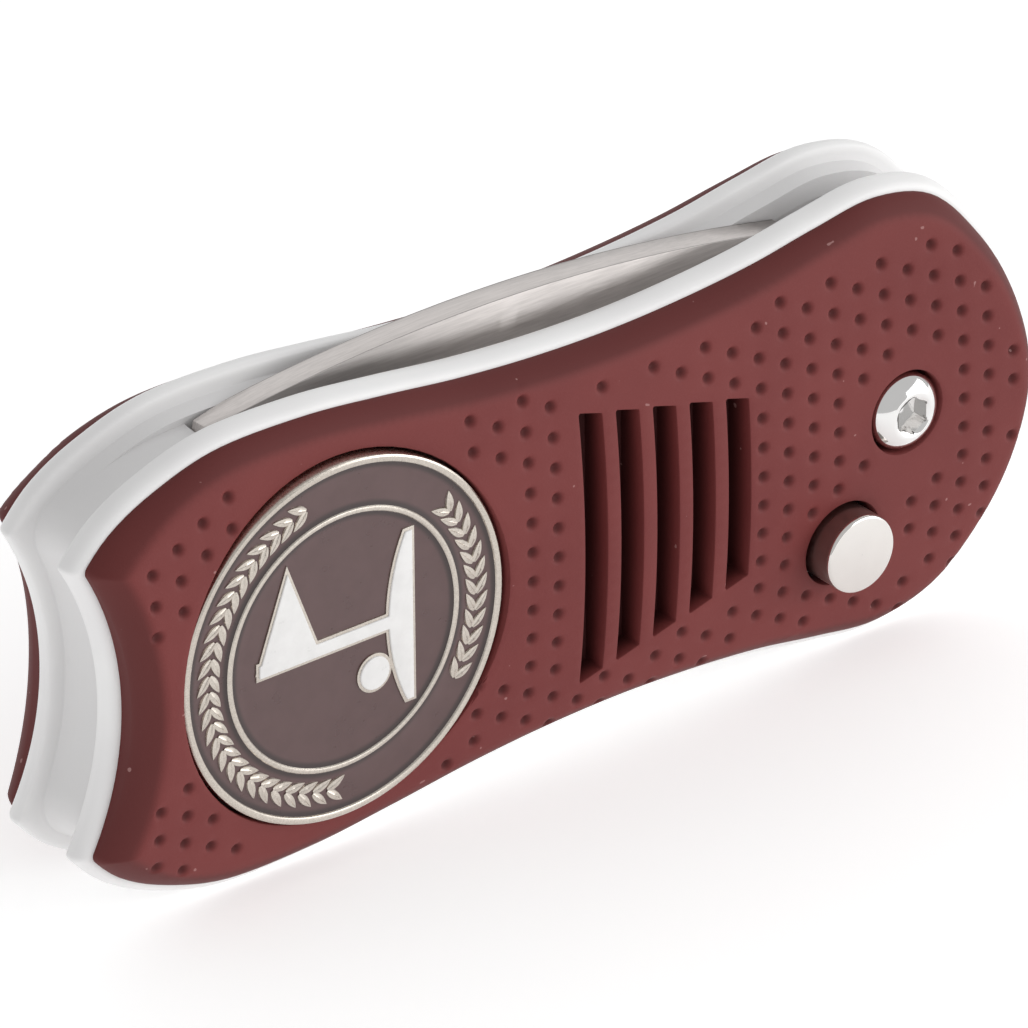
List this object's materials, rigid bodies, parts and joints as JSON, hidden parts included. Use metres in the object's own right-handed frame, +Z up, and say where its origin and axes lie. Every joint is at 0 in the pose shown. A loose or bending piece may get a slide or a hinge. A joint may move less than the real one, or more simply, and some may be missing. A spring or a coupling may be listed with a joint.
{
  "type": "divot repair tool",
  "caption": "Spring-opened divot repair tool for golf, with soft dimpled grips, a forked steel blade, a push button and a magnetic ball marker.",
  "frame": {"origin": "under the middle of the tool, on the surface that it stands on", "axes": "+X along the tool towards the pivot end, +Y from the marker side to the back, +Z up"},
  "size_m": [0.0762, 0.0152, 0.0323],
  "materials": {
    "plate_white": "satin moulded",
    "grip_silicone": "matte soft touch",
    "blade_steel": "fine brushed",
    "polished_steel": "polished",
    "button_nickel": "satin nickel",
    "zinc_fastener": "zinc plated",
    "brass": "turned",
    "bronze": "oiled bronze",
    "spring_steel": "drawn wire",
    "cup_steel": "pressed steel",
    "magnet": "nickel plated magnet",
    "coin_metal": "struck, antique nickel",
    "enamel_brown": "soft enamel",
    "enamel_white": "soft enamel"
  },
  "bodies": {
    "case": {"front_plate": "plate_white", "rear_plate": "plate_white", "back_spacer": "plate_white", "front_grip": "grip_silicone", "rear_grip": "grip_silicone", "case_screws": "zinc_fastener", "case_inserts": "brass", "stop_pins": "zinc_fastener", "pivot_screw": "polished_steel", "screw_washer": "polished_steel", "pivot_barrel": "polished_steel", "front_thrust_washer": "bronze", "rear_thrust_washer": "bronze", "opening_spring": "spring_steel", "button_spring": "spring_steel", "magnet_cup": "cup_steel", "marker_magnet": "magnet"},
    "blade": {"fork_blade": "blade_steel", "blade_bushing": "bronze"},
    "button": {"button_cap": "button_nickel", "lock_plunger": "zinc_fastener", "plunger_clip": "spring_steel"},
    "marker": {"marker_coin": "coin_metal", "coin_outer_enamel": "enamel_brown", "coin_inner_enamel": "enamel_brown", "coin_emblem": "enamel_white"}
  },
  "joints": [
    {"name": "blade_pivot", "type": "hinge", "parent": "case", "child": "blade", "pos_m": [0.0261, 0.0008, 0.0169], "axis": [0, 1, 0], "range_deg": [0, 171], "deforming": ["opening_spring"]},
    {"name": "button_press", "type": "slide", "parent": "case", "child": "button", "axis": [0, 1, 0], "range_m": [0, 0.0015], "stiffness_N_per_m": 500, "springref_m": -0.003, "deforming": ["button_spring"]},
    {"name": "marker_lift", "type": "slide", "parent": "case", "child": "marker", "axis": [0, -1, 0], "range_m": [0, 0.015]}
  ]
}
